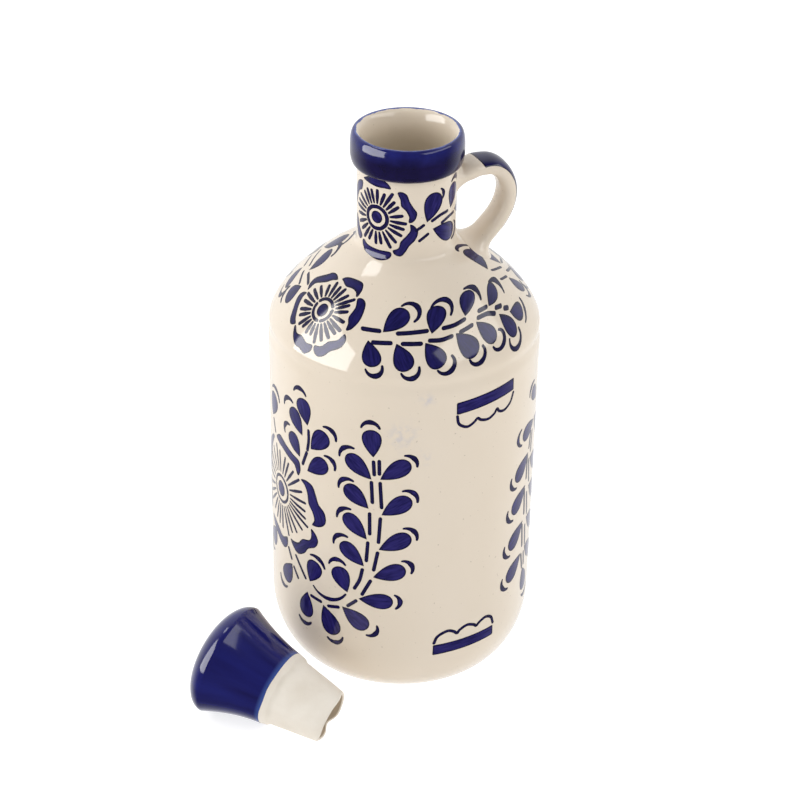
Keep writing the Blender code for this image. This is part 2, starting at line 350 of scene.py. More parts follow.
def spokes(x, y, inner, tips, width):
    """Rays that end at the given tips and start on a circle, more evenly spaced than they end."""
    away = np.array(tips, float) - (x, y)
    angle = np.unwrap(np.arctan2(away[:, 1], away[:, 0]))
    turn = math.copysign(math.tau, angle[-1] - angle[0])
    for _ in range(4):
        before = np.concatenate([[angle[-1] - turn], angle[:-1]])
        after = np.concatenate([angle[1:], [angle[0] + turn]])
        angle = (before + 2 * angle + after) / 4
    starts = np.stack([x + inner * np.cos(angle), y + inner * np.sin(angle)], 1)
    return rays(zip(starts, tips), width)


# ---------------------------------------------------------------- paint laid on the bottle

OUTLINE_STEP = 0.65
RIM = 0.35                 # how far in the second row of points is
FILL_STEP = 1.1
GRAIN_STRETCH = 0.16       # the brush's streaks run along each stroke
GRAIN_SHIFT = 10           # and differ from stroke to stroke


def resampled(outline):
    """The closed outline cut into steps short enough to follow the bottle."""
    result = []
    for a, b in zip(outline, np.roll(outline, -1, 0)):
        count = max(1, math.ceil(np.linalg.norm(b - a) / OUTLINE_STEP))
        result += [a + (b - a) * i / count for i in range(count)]
    return np.array(result)


def edge_distance(points, outline):
    a, b = outline, np.roll(outline, -1, 0)
    ab = b - a
    t = ((points[:, None] - a) * ab).sum(2) / (ab ** 2).sum(1)
    near = a + np.clip(t, 0, 1)[..., None] * ab
    return np.sqrt(((points[:, None] - near) ** 2).sum(2)).min(1)


def contains(points, outline):
    a, b = outline, np.roll(outline, -1, 0)
    x, y = points[:, :1], points[:, 1:]
    crosses = (a[:, 1] > y) != (b[:, 1] > y)
    with np.errstate(divide='ignore', invalid='ignore'):
        at = (b[:, 0] - a[:, 0]) * (y - a[:, 1]) / (b[:, 1] - a[:, 1]) + a[:, 0]
    return (crosses & (x < at)).sum(1) % 2 == 1


def filled(outline):
    """A flat triangulated patch: its points, its triangles and its outline."""
    outline = resampled(outline)
    area = np.sum(outline[:, 0] * np.roll(outline[:, 1], -1) - outline[:, 1] * np.roll(outline[:, 0], -1))
    if area < 0:
        outline = outline[::-1]
    along = np.roll(outline, -1, 0) - np.roll(outline, 1, 0)
    across = np.stack([-along[:, 1], along[:, 0]], 1) / np.linalg.norm(along, axis=1)[:, None]
    low, high = outline.min(0), outline.max(0)
    grid = np.stack(np.meshgrid(np.arange(low[0], high[0], FILL_STEP),
                                np.arange(low[1], high[1], FILL_STEP)), 2).reshape(-1, 2)
    rim = outline + across * RIM
    rim = rim[contains(rim, outline) & (edge_distance(rim, outline) > 0.8 * RIM)]
    grid = grid[contains(grid, outline) & (edge_distance(grid, outline) > 2.2 * RIM)]
    points = np.vstack([outline, rim, grid])
    edges = [(i, (i + 1) % len(outline)) for i in range(len(outline))]
    found = delaunay_2d_cdt([Vector(p) for p in points], edges, [], 1, 1e-5)
    flat = np.array([tuple(p) for p in found[0]])
    return flat, [tuple(f) for f in found[2]], outline


def paint(name, shapes, turn, start, material, seed):
    """One piece of glaze from many brush shapes, laid on the bottle as thin closed solids."""
    rng = random.Random(seed)
    points, faces, normals, flat_sides, rims, grains = [], [], [], [], [], []
    base = 0
    for shape in shapes:
        flat, triangles, outline = filled(np.asarray(shape, float))
        angle, length = SKIN.unroll(flat, turn, start)
        upper, facing = SKIN.place(angle, length, PAINT_LIFT)
        lower, _ = SKIN.place(angle, length, -PAINT_DEPTH)
        points += [upper, lower]
        normals += [facing, -facing]
        count = len(flat)
        used = {(a, b): None for f in triangles for a, b in zip(f, f[1:] + f[:1])}
        border = [(a, b) for a, b in used if (b, a) not in used]
        faces += [tuple(base + i for i in f) for f in triangles]
        faces += [tuple(base + count + i for i in reversed(f)) for f in triangles]
        faces += [(base + b, base + a, base + count + a, base + count + b) for a, b in border]
        flat_sides += [False] * (2 * len(triangles)) + [True] * len(border)
        near = np.clip(edge_distance(flat, outline), 0, 2)
        rims += [near, near]
        spread = flat - flat.mean(0)
        axis = np.linalg.svd(spread, full_matrices=False)[2][0]
        grain = np.stack([spread @ axis * GRAIN_STRETCH, spread @ np.array([-axis[1], axis[0]]),
                          np.full(count, GRAIN_SHIFT * rng.random())], 1)
        grains += [grain, grain]
        base += 2 * count
    points, normals = np.vstack(points), np.vstack(normals)
    piece = new_piece(name, points, faces, material, "bottle", 60)
    set_values(piece, "rim", np.concatenate(rims))
    set_vectors(piece, "grain", np.vstack(grains))
    mesh = piece.data
    mesh.normals_split_custom_set([tuple(polygon.normal if is_side else normals[v])
                                   for polygon, is_side in zip(mesh.polygons, flat_sides)
                                   for v in polygon.vertices])


# ---------------------------------------------------------------- motifs

def big_sprig():
    """The curling branch on the body, right of the flower."""
    shapes = [
        leaf((5.2, 21.2), (15.9, 28.9), 7.2), crescent((14.0, 31.7), (17.3, 30.6), (18.5, 27.2)),
        leaf((5.8, 6.2), (16.4, 13.6), 7.3), crescent((13.4, 16.8), (17.4, 16.0), (18.8, 12.2)),
        leaf((4.9, -8.8), (16.5, -2.4), 7.2), crescent((13.9, 0.9), (17.6, -0.2), (18.8, -4.0)),
        leaf((2.9, -21.0), (14.8, -16.6), 7.2), crescent((13.5, -13.2), (16.6, -14.4), (17.0, -18.4)),
        leaf((-2.6, -31.4), (10.4, -31.2), 6.8), crescent((11.0, -28.2), (13.0, -31.2), (11.5, -34.0)),
        leaf((-9.2, -36.6), (1.0, -44.0), 7.4), crescent((4.5, -42.4), (4.2, -45.6), (0.7, -47.0)),
        leaf((-17.4, -38.8), (-12.2, -50.4), 8.2), crescent((-8.9, -50.5), (-11.2, -53.4), (-15.4, -52.6)),
        leaf((-25.3, -36.4), (-26.4, -47.8), 7.4), crescent((-23.4, -49.4), (-26.5, -51.0), (-30.0, -49.2)),
        leaf((2.6, 30.2), (1.6, 41.5), 7.4), crescent((-2.0, 42.0), (1.4, 44.6), (4.8, 42.4)),
        leaf((2.0, 20.8), (-7.4, 29.6), 7.0), crescent((-10.4, 28.2), (-8.6, 32.0), (-4.8, 32.6)),
        leaf((1.0, 8.3), (-8.0, 16.6), 7.0), crescent((-10.7, 14.8), (-9.0, 18.6), (-5.0, 18.8)),
        leaf((0.4, -5.0), (-8.2, 4.4), 6.8), crescent((-11.4, 2.0), (-9.8, 5.6), (-6.0, 6.6)),
        leaf((-0.6, -16.8), (-9.6, -8.4), 6.8), crescent((-12.8, -9.8), (-11.4, -6.2), (-7.2, -5.6)),
        leaf((-7.0, -29.8), (-11.4, -19.6), 7.6), crescent((-14.8, -19.4), (-11.8, -16.6), (-8.0, -18.0)),
        leaf((-24.0, -31.2), (-20.6, -21.2), 7.6), crescent((-23.6, -19.2), (-19.6, -19.4), (-16.8, -22.6)),
    ]
    dashes = [
        ((2.7, 28.3), (3.0, 23.0)), ((4.8, 28.8), (4.9, 23.5)),
        ((2.0, 19.6), (2.4, 11.2)), ((5.2, 19.6), (5.8, 9.4)),
        ((1.4, 6.2), (1.5, -2.4)), ((5.4, 4.6), (4.8, -5.6)),
        ((0.8, -6.4), (0.3, -14.2)), ((4.5, -10.2), (3.1, -17.8)),
        ((-1.2, -18.4), (-2.2, -23.0), (-4.2, -27.2)), ((1.9, -22.8), (-1.2, -29.2)),
        ((-3.6, -32.6), (-6.8, -35.6)), ((-10.8, -37.4), (-15.0, -38.4)), ((-18.6, -37.8), (-23.2, -37.2)),
    ]
    shapes += [stroke(points, 1.4) for points in dashes]
    shapes.append(crescent((-22.2, -32.2), (-15.4, -35.2), (-7.8, -30.9), 1.8))
    return shapes


def small_sprig():
    """The short branch above the body flower."""
    shapes = [
        leaf((17.4, 35.4), (14.2, 45.6), 7.6), crescent((9.9, 47.0), (13.0, 49.2), (16.6, 47.4)),
        leaf((14.6, 30.0), (8.2, 39.2), 7.0), crescent((3.2, 38.2), (5.4, 41.8), (9.0, 41.4)),
        leaf((13.0, 20.4), (7.4, 28.6), 6.6), crescent((3.4, 26.4), (3.6, 29.8), (6.6, 31.0)),
        leaf((-9.4, 27.0), (-5.6, 37.4), 8.0), crescent((-9.4, 38.8), (-5.0, 40.2), (-1.2, 36.4)),
        leaf((18.9, 26.2), (26.4, 35.2), 7.6), crescent((25.0, 37.8), (28.8, 37.2), (30.4, 33.6)),
        leaf((17.0, 16.2), (26.4, 23.2), 7.2), crescent((25.4, 25.8), (28.8, 24.8), (29.8, 21.2)),
        stroke([(17.9, 33.4), (17.9, 29.0), (17.2, 25.2)], 1.4), stroke([(16.8, 23.8), (14.6, 18.2)], 1.4),
        stroke([(-8.0, 25.8), (-6.0, 21.6)], 1.4),
    ]
    return shapes


def body_flower():
    shapes = [dot(-0.7, 0.0, 2.9, 3.2)]
    shapes += ring(-0.6, 0.0, 5.3, 1.2, [(-98, -8), (2, 84), (92, 172), (184, 256)])
    tips = [(13.6, 5.7), (15.6, 1.7), (15.3, -1.8), (15.4, -4.9), (16.6, -8.0), (13.6, -10.5),
            (10.4, -13.2), (7.4, -14.6), (5.0, -17.2), (0.3, -16.3), (-2.7, -15.8), (-5.5, -14.8),
            (-8.3, -12.6), (-12.3, -10.8), (-13.0, -7.4), (-13.0, -3.6), (-12.6, 0.8), (-13.0, 4.8),
            (-11.6, 9.4), (-8.8, 13.6), (-5.0, 16.8), (-1.6, 15.6), (3.1, 15.0), (5.5, 13.8), (8.7, 12.0),
            (12.2, 10.2)]
    shapes += spokes(-0.6, 0.0, 7.2, tips, 1.25)
    shapes += [blob(points) for points in (
        [(-4.8, 20.3), (-1.0, 22.9), (4.0, 21.2), (8.6, 19.6), (12.4, 18.4), (13.3, 15.0), (12.2, 12.2),
         (11.2, 12.4), (9.6, 15.4), (6.0, 16.6), (1.4, 18.2), (-2.0, 18.9)],
        [(13.4, 11.0), (16.2, 11.8), (19.5, 10.8), (21.2, 7.4), (22.4, 4.2), (25.2, 1.2), (25.6, -2.8),
         (23.2, -5.4), (19.2, -6.1), (20.2, -3.6), (19.4, -0.6), (17.4, 2.4), (16.8, 6.6), (15.4, 9.4)],
        [(18.6, -8.0), (20.8, -9.4), (22.0, -12.2), (20.6, -15.2), (17.0, -17.4), (14.9, -20.2),
         (11.4, -22.2), (8.4, -21.0), (6.3, -18.2), (8.6, -18.0), (11.4, -17.2), (13.8, -14.6),
         (17.6, -13.2), (18.6, -11.0)],
        [(3.9, -18.8), (3.9, -22.4), (1.6, -24.5), (-1.8, -24.0), (-6.0, -21.8), (-10.4, -20.0),
         (-11.8, -17.2), (-8.4, -17.3), (-4.2, -18.4), (0.0, -20.3)],
        [(-13.4, -15.4), (-16.8, -13.8), (-18.6, -9.4), (-17.8, -4.4), (-14.8, -2.6), (-15.0, -6.4),
         (-14.0, -10.6)],
        [(-14.4, -0.6), (-16.8, 4.0), (-15.8, 9.4), (-13.8, 14.6), (-9.6, 18.6), (-7.6, 18.4),
         (-10.6, 13.6), (-12.6, 8.0), (-13.2, 3.0)],
    )]
    shapes += [stroke(points, 1.25) for points in (
        ((4.8, -22.9), (6.8, -26.6)), ((9.8, -23.8), (15.3, -31.0)), ((8.4, -29.6), (10.9, -33.0)))]
    shapes += [leaf((-6.4, -20.8), (-12.4, -29.2), 7.4),
               crescent((-15.6, -28.4), (-14.6, -31.8), (-10.6, -32.6)),
               leaf((7.2, -28.8), (1.4, -38.4), 7.2), crescent((3.2, -41.0), (-0.6, -41.6), (-2.8, -38.6))]
    return shapes


def shoulder_flower():
    shapes = [dot(-0.5, 0.2, 2.4, 2.6)]
    shapes += ring(-0.5, 0.3, 4.15, 1.35, [(37, 147), (169, 274), (296, 375)], 1.04)
    tips = [(-2.0, 11.2), (0.5, 10.3), (2.9, 10.4), (5.5, 8.6), (8.7, 8.0), (8.3, 5.4), (9.2, 3.0),
            (10.2, -0.9), (10.8, -4.2), (9.5, -5.7), (8.0, -7.9), (5.7, -9.6), (3.2, -11.3), (0.1, -9.3),
            (-2.2, -9.5), (-4.9, -8.3), (-7.3, -8.3), (-9.3, -5.7), (-10.6, -3.8), (-11.2, -0.7),
            (-11.9, 1.9), (-10.0, 4.5), (-7.8, 6.9), (-4.4, 8.9)]
    shapes += spokes(-0.5, 0.2, 5.6, tips, 1.6)
    shapes += [blob(points) for points in (
        [(-1.2, 13.6), (0.2, 15.0), (3.2, 15.6), (7.2, 15.2), (9.0, 12.8), (9.3, 9.8), (8.6, 9.5),
         (7.4, 11.0), (5.2, 11.8), (2.4, 11.7), (0.0, 12.9)],
        [(9.7, 8.8), (11.6, 9.3), (13.8, 7.6), (15.2, 4.0), (15.6, 0.6), (14.6, -2.6), (12.9, -3.4),
         (12.2, -1.0), (11.0, 1.4), (11.1, 5.4)],
        [(13.2, -4.9), (15.0, -7.0), (14.4, -10.0), (11.2, -12.4), (9.4, -14.6), (7.0, -15.6), (4.8, -14.6),
         (3.9, -12.4), (6.8, -11.6), (8.8, -9.2), (11.8, -7.6)],
        [(3.0, -12.6), (3.2, -14.8), (0.6, -16.8), (-2.4, -15.8), (-5.0, -15.6), (-7.6, -13.4),
         (-9.2, -10.2), (-8.4, -9.7), (-6.4, -11.5), (-3.2, -11.4), (0.0, -12.7)],
        [(-13.0, 1.7), (-15.6, 0.6), (-16.6, -2.0), (-14.8, -6.4), (-13.4, -9.4), (-11.6, -10.5),
         (-9.3, -9.2), (-10.9, -7.4), (-13.0, -3.2), (-13.5, -0.4)],
        [(-13.4, 2.7), (-14.8, 4.6), (-14.2, 7.4), (-12.0, 9.5), (-9.2, 11.7), (-7.2, 13.5), (-4.8, 13.9),
         (-2.8, 12.5), (-4.8, 11.2), (-6.8, 9.4), (-9.4, 7.8), (-12.0, 6.0)],
    )]
    shapes += [
        stroke([(-20.8, 5.8), (-18.4, 5.2), (-15.9, 4.2)], 1.4), stroke([(-26.0, 3.7), (-21.8, 1.3)], 1.4),
        leaf((-22.4, 6.4), (-18.2, 17.2), 6.0), crescent((-20.6, 18.6), (-16.6, 20.2), (-15.6, 16.6)),
        leaf((-18.8, 1.4), (-24.6, -6.6), 6.4), crescent((-26.4, -9.0), (-28.8, -6.6), (-27.8, -3.4)),
        stroke([(-25.6, 7.0), (-30.6, 10.4)], 1.3), stroke([(-30.8, 4.2), (-34.4, 5.8)], 1.3),
        leaf((-31.2, 12.0), (-20.0, 22.6), 5.6), crescent((-22.4, 24.6), (-18.6, 25.4), (-17.0, 21.4)),
        leaf((-30.8, 3.0), (-33.0, -5.8), 6.2), crescent((-35.6, -7.0), (-32.4, -9.0), (-29.8, -6.6)),
    ]
    return shapes


def shoulder_sprig():
    """The branch that runs right from the shoulder's flower."""
    shapes = [
        leaf((-7.6, 5.4), (1.0, 14.0), 7.2), crescent((-1.0, 15.6), (4.2, 15.6), (3.6, 9.8)),
        leaf((9.8, 4.9), (12.4, 14.9), 7.4), crescent((9.4, 14.2), (13.6, 17.0), (17.0, 10.8)),
        leaf((22.9, 8.9), (25.0, 17.6), 7.4), crescent((23.0, 18.6), (28.2, 17.2), (30.8, 12.6)),
        leaf((34.4, 9.0), (40.2, 14.4), 7.4), crescent((37.4, 16.0), (42.6, 14.6), (46.2, 9.4)),
        leaf((-12.9, 1.8), (-10.8, -7.4), 7.2), crescent((-13.6, -8.6), (-10.4, -10.6), (-7.6, -6.8)),
        leaf((-2.7, 1.6), (1.4, -8.0), 7.4), crescent((-0.8, -9.0), (2.8, -10.8), (5.5, -6.8)),
        leaf((7.5, 1.8), (13.8, -7.2), 7.4), crescent((12.2, -8.4), (16.6, -9.4), (17.4, -3.8)),
        leaf((18.9, 3.8), (27.4, -5.4), 7.4), crescent((24.4, -6.6), (29.4, -8.2), (30.0, -3.0)),
        leaf((27.4, 5.8), (36.4, -3.0), 5.8), crescent((34.8, -4.8), (39.8, -5.6), (38.2, 0.0)),
        leaf((39.4, 4.7), (48.4, -4.8), 5.6), crescent((43.6, -5.0), (49.6, -8.4), (50.2, -3.6)),
        leaf((46.4, 3.0), (56.6, -0.6), 5.8), crescent((56.4, -4.0), (58.8, -0.8), (57.6, 3.0)),
    ]
    dashes = [
        ((-15.0, 5.6), (-8.9, 5.7)), ((-2.2, 5.3), (8.0, 6.1)), ((14.2, 6.4), (18.4, 6.8), (22.4, 7.9)),
        ((29.2, 9.1), (33.0, 9.2)), ((28.6, 6.9), (33.0, 6.9), (37.0, 5.7)), ((38.3, 7.2), (41.4, 6.7)),
        ((43.4, 5.2), (45.6, 4.6)), ((-11.0, 1.3), (-4.8, 1.7)), ((-0.4, 1.6), (5.9, 1.6)),
        ((9.2, 2.5), (13.4, 2.3), (17.2, 3.0)), ((20.9, 3.9), (25.5, 5.1)),
    ]
    return shapes + [stroke(points, 1.65) for points in dashes]


def neck_flower():
    shapes = [dot(-0.4, 0.0, 2.4, 2.4)]
    shapes += ring(-0.4, -0.2, 4.3, 1.5, [(-62, 118), (124, 292)])
    tips = [(10.6, -0.9), (9.3, 2.1), (7.8, 5.3), (6.4, 7.1), (5.7, 10.2), (2.7, 9.5), (-0.2, 10.4),
            (-2.9, 9.8), (-5.0, 9.5), (-6.5, 7.9), (-9.2, 5.9), (-10.5, 3.3), (-11.6, 1.0), (-10.6, -1.8),
            (-9.7, -4.9), (-7.8, -7.0), (-6.3, -9.5), (-3.8, -9.5), (-0.6, -10.2), (1.6, -9.7),
            (5.2, -10.6), (7.1, -8.3), (9.0, -5.6), (9.8, -3.1)]
    shapes += spokes(-0.4, -0.2, 5.7, tips, 1.5)
    shapes += [blob(points) for points in (
        [(-7.4, 13.0), (-4.0, 14.8), (0.0, 15.4), (3.6, 14.4), (5.2, 12.2), (2.6, 12.0), (-0.6, 11.8),
         (-4.4, 12.2)],
        [(7.6, 11.0), (9.2, 11.5), (11.0, 10.4), (12.0, 7.8), (13.4, 5.4), (14.7, 3.2), (14.2, 0.8),
         (12.8, -0.5), (11.7, -0.2), (11.8, 1.8), (10.6, 4.2), (9.0, 5.9), (8.6, 8.4)],
        [(12.3, -1.2), (14.0, -2.0), (15.2, -4.4), (14.2, -7.4), (12.2, -9.6), (10.8, -12.0), (9.2, -13.8),
         (7.0, -13.4), (6.2, -11.8), (8.2, -10.6), (9.0, -8.0), (11.0, -5.6), (12.3, -3.6)],
        [(5.3, -12.6), (5.2, -15.0), (2.0, -16.4), (-2.4, -16.0), (-6.0, -15.0), (-7.8, -12.6),
         (-6.9, -10.9), (-4.4, -12.2), (0.6, -12.6)],
        [(-8.0, -10.0), (-9.6, -12.0), (-12.0, -10.8), (-13.6, -7.0), (-13.4, -3.4), (-11.6, -4.4),
         (-10.2, -7.2)],
        [(-7.9, 11.3), (-10.0, 11.2), (-13.0, 8.8), (-14.4, 4.4), (-13.6, 0.6), (-12.2, 3.8), (-10.6, 6.6),
         (-8.4, 8.2)],
    )]
    return shapes


def neck_sprig():
    """The short branch right of the neck's flower."""
    return [
        leaf((2.9, -0.9), (6.9, 10.0), 7.6), crescent((8.6, 11.0), (9.9, 9.2), (9.4, 7.0), 1.6),
        leaf((5.2, -3.9), (16.6, -8.8), 7.4), crescent((17.6, -5.0), (18.9, -8.0), (15.6, -11.2)),
        leaf((14.2, 1.4), (17.2, 10.6), 6.6), crescent((14.8, 11.6), (18.6, 12.4), (21.0, 9.4)),
        stroke([(5.0, -0.7), (8.4, 0.6), (12.2, 1.0)], 1.3),
        stroke([(9.4, -2.6), (12.8, -1.6), (16.6, -1.3)], 1.3),
        stroke([(-1.0, -3.6), (1.6, -1.9)], 1.2), stroke([(0.2, -7.8), (3.3, -5.6)], 1.2),
        leaf((17.6, -0.4), (28.0, -2.0), 6.0), crescent((28.4, -5.2), (30.6, -2.2), (29.2, 1.0)),
    ]


def right_sprig():
    """The upright branch beside the right edge of the body."""
    shapes = [
        leaf((8.4, 32.4), (1.4, 38.8), 6.2), crescent((-1.2, 37.0), (0.4, 40.6), (3.6, 41.6)),
        leaf((5.6, 24.4), (-6.2, 22.2), 6.8), crescent((-7.4, 26.4), (-9.8, 22.8), (-6.8, 19.4)),
        leaf((6.6, 24.6), (15.0, 17.8), 6.8), crescent((17.6, 18.6), (17.2, 15.2), (13.8, 14.4)),
    ]
    for x, y in ((0.2, 13.0), (-1.2, -0.3), (-2.2, -15.4), (-2.7, -29.4)):
        shapes.append(leaf((x, y), (x - 10.4, y - 7.4), 7.2))
        shapes.append(crescent((x - 13.2, y - 5.0), (x - 13.0, y - 8.8), (x - 9.6, y - 10.6)))
    for x, y in ((2.8, 9.4), (3.0, -3.0), (2.0, -16.2), (1.4, -28.8)):
        shapes.append(leaf((x, y), (x + 10.0, y - 6.4), 7.2))
        shapes.append(crescent((x + 12.6, y - 4.4), (x + 12.4, y - 8.2), (x + 9.0, y - 9.6)))
    shapes += [leaf((0.2, -37.6), (3.4, -48.2), 7.4), crescent((0.8, -50.2), (4.4, -51.4), (7.6, -48.8))]
    dashes = [
        ((2.2, 20.6), (1.0, 14.6)), ((4.4, 20.0), (3.4, 12.0)), ((-0.5, 11.6), (-0.5, 2.2)), ((1.6, 9.0),
        (3.0, -0.6)),
        ((-1.9, -2.2), (-1.0, -12.8)), ((1.0, -5.0), (2.4, -14.4)), ((-2.4, -17.4), (-1.4, -26.8)),
        ((0.8, -19.2), (1.8, -27.6)), ((-2.0, -30.6), (-0.4, -37.0)), ((0.8, -31.0), (1.6, -36.4)),
    ]
    return shapes + [stroke(points, 1.4) for points in dashes]


def upper_cartouche():
    """A slightly slanted bar with three scallops hung below it."""
    bar = [(-13.4, 0.3), (-13.1, 0.7), (12.2, 2.9), (12.7, 2.5), (12.9, -1.9), (12.6, -2.2), (-12.9, -4.2),
           (-13.3, -3.9)]
    wave = [(-13.0, -4.9), (-12.2, -8.2), (-9.0, -10.0), (-6.2, -8.9), (-4.7, -7.6), (-3.2, -8.7),
            (0.0, -9.4), (2.8, -8.2), (4.2, -6.6), (5.3, -8.0), (8.0, -8.6), (11.2, -6.8), (12.8, -3.3)]
    return [np.array(bar), stroke(wave, 1.15, 5)]


def lower_cartouche():
    """The same below, with its scallops on top."""
    bar = [(-13.5, 0.5), (-13.2, 0.8), (12.3, 1.8), (12.7, 1.5), (12.9, -2.3), (12.5, -2.7), (-13.0, -3.9),
           (-13.4, -3.6)]
    wave = [(-13.1, 1.7), (-11.8, 4.5), (-8.0, 6.2), (-5.4, 5.4), (-4.0, 4.3), (-2.8, 5.5), (0.2, 6.7),
            (3.2, 5.8), (4.4, 4.9), (5.8, 6.0), (8.8, 7.1), (11.6, 5.8), (12.7, 2.9)]
    return [np.array(bar), stroke(wave, 1.25, 5)]


# ---------------------------------------------------------------- materials

BLACK, WHITE = (0.0, 0.0, 0.0), (1.0, 1.0, 1.0)
CREAM = (0.80, 0.707, 0.592)
CREAM_DEEP = (0.77, 0.672, 0.548)


class Look:
    """A material and its node tree, with one method for each kind of node used here."""

    def __init__(self, name, roughness):
        self.material = bpy.data.materials.new(name)
        self.material.use_nodes = True
        self.nodes, self.links = self.material.node_tree.nodes, self.material.node_tree.links
        self.shader = self.nodes["Principled BSDF"]
        self.shader.inputs["Roughness"].default_value = roughness
        self.shader.inputs["IOR"].default_value = 1.5

    def value(self, name, output="Fac"):
        """What set_values or set_vectors stored on the mesh."""
        node = self.nodes.new('ShaderNodeAttribute')
        node.attribute_name = name
        return node.outputs[output]

    def ramp(self, factor, stops):
        node = self.nodes.new('ShaderNodeValToRGB')
        for element, (place, colour) in zip(node.color_ramp.elements, stops):
            element.position = place
            element.color = (*colour, 1.0)
        self.links.new(factor, node.inputs[0])
        return node.outputs[0]

    def mask(self, factor, low, high):
        return self.ramp(factor, [(low, BLACK), (high, WHITE)])

    def noise(self, scale, detail=1.0, stretch=None, vector=None):
        texture = self.nodes.new('ShaderNodeTexNoise')
        texture.inputs["Scale"].default_value = scale
        texture.inputs["Detail"].default_value = detail
        if vector is None:
            vector = self.nodes.new('ShaderNodeTexCoord').outputs["Object"]
        if stretch:
            mapping = self.nodes.new('ShaderNodeMapping')
            mapping.inputs["Scale"].default_value = stretch
            self.links.new(vector, mapping.inputs["Vector"])
            vector = mapping.outputs["Vector"]
        self.links.new(vector, texture.inputs["Vector"])
        return texture.outputs["Fac"]

    def mix(self, factor, first, second, blend='MIX'):
        node = self.nodes.new('ShaderNodeMix')
        node.data_type, node.blend_type = 'RGBA', blend
        for socket, value in ((node.inputs[0], factor), (node.inputs[6], first), (node.inputs[7], second)):
            if isinstance(value, float):
                socket.default_value = value
            elif isinstance(value, tuple):
                socket.default_value = (*value, 1.0)
            else:
                self.links.new(value, socket)
        return node.outputs[2]

    def bump(self, scale, strength, distance, detail=1.0):
        """Unevenness of the surface, distance metres deep at most."""
        node = self.nodes.new('ShaderNodeBump')
        node.inputs["Strength"].default_value = strength
        node.inputs["Distance"].default_value = distance
        self.links.new(self.noise(scale, detail), node.inputs["Height"])
        self.links.new(node.outputs["Normal"], self.shader.inputs["Normal"])

    def coloured(self, colour):
        self.links.new(colour, self.shader.inputs["Base Color"])
        return self.material


def cream_material():
    look = Look("cream_glaze", 0.07)
    colour = look.ramp(look.noise(22.0, 3.0, (1.0, 1.0, 0.45)), [(0.30, CREAM_DEEP), (0.70, CREAM)])
    specks = look.mask(look.noise(900.0), 0.755, 0.79)
    colour = look.mix(specks, colour, (0.58, 0.50, 0.40))
    # Painted shade in the bore: the 'inside' value darkens and greys the glaze there.
    colour = look.mix(look.value("inside"), colour, (0.74, 0.72, 0.67), 'MULTIPLY')
    patchy = look.mask(look.noise(420.0, 4.0), 0.42, 0.66)
    faint = look.mix(1.0, patchy, look.value("smudge"), 'MULTIPLY')
    colour = look.mix(faint, colour, (0.47, 0.48, 0.60))
    look.bump(55.0, 0.12, 0.0006)
    return look.coloured(colour)


def cobalt_material(name, light, dark, rim):
    """Painted cobalt: darker along the edges of each stroke, with the streaks of the brush inside."""
    look = Look(name, 0.09)
    streak = look.noise(1.1, 3.0, vector=look.value("grain", "Vector"))
    colour = look.ramp(streak, [(0.34, dark), (0.66, light)])
    return look.coloured(look.mix(look.mask(look.value("rim"), 0.10, 0.75), rim, colour))


def band_material():
    """The thicker cobalt of the mouth, with painted light: lighter and bluer on its crown as a painted
    highlight, darker and more purple down its side as painted shade, and lighter where it thins at its
    ragged edge.
    """
    look = Look("mouth_cobalt", 0.08)
    wash = look.noise(160.0, 3.0)
    # Painted shade down the side of the band and a painted highlight on its crown, blended by how far down
    # the collar a point is.
    side = look.ramp(wash, [(0.30, (0.005, 0.003, 0.030)), (0.72, (0.010, 0.006, 0.060))])
    crown = look.ramp(wash, [(0.30, (0.008, 0.008, 0.090)), (0.72, (0.016, 0.020, 0.170))])
    colour = look.mix(look.mask(look.value("painted_shade_drop"), 0.12, 0.50), crown, side)
    look.bump(140.0, 0.10, 0.0005)
    return look.coloured(look.mix(look.mask(look.value("rim"), 0.05, 0.90), (0.10, 0.14, 0.40), colour))


def head_material():
    """Cobalt brushed on the stopper from its crown down to the glaze line."""
    look = Look("stopper_cobalt", 0.10)
    streak = look.noise(1.0, 3.0, vector=look.value("grain", "Vector"))
    colour = look.ramp(streak, [(0.30, (0.007, 0.006, 0.075)), (0.72, (0.011, 0.013, 0.135))])
    look.bump(110.0, 0.12, 0.0006)
    return look.coloured(look.mix(look.mask(look.value("rim"), 0.02, 0.20), (0.045, 0.085, 0.30), colour))


def clay_material():
    look = Look("bare_clay", 0.72)
    colour = look.ramp(look.noise(90.0, 4.0), [(0.30, (0.78, 0.71, 0.61)), (0.70, (0.86, 0.80, 0.71))])
    look.bump(700.0, 0.35, 0.0003, 3.0)
    # Painted shade in the hole of the shank's torn end, with some dirt: the 'inside' value darkens the clay
    # there.
    return look.coloured(look.mix(look.value("inside"), colour, (0.66, 0.58, 0.48), 'MULTIPLY'))


cream = cream_material()
paint_blue = cobalt_material("painted_cobalt", (0.027, 0.021, 0.150), (0.009, 0.007, 0.072),
                             (0.003, 0.002, 0.022))
# Painted shade: a darker copy of the same painted cobalt, for the shoulder's motifs.
shoulder_shaded_blue = cobalt_material("painted_cobalt_shaded", (0.014, 0.011, 0.110), (0.005, 0.004, 0.055),
                            (0.002, 0.0015, 0.018))
stripe_blue = cobalt_material("stripe_cobalt", (0.008, 0.007, 0.085), (0.003, 0.002, 0.035),
                              (0.002, 0.0015, 0.012))
mouth_blue = band_material()
head_blue = head_material()
clay = clay_material()


# ---------------------------------------------------------------- the bottle

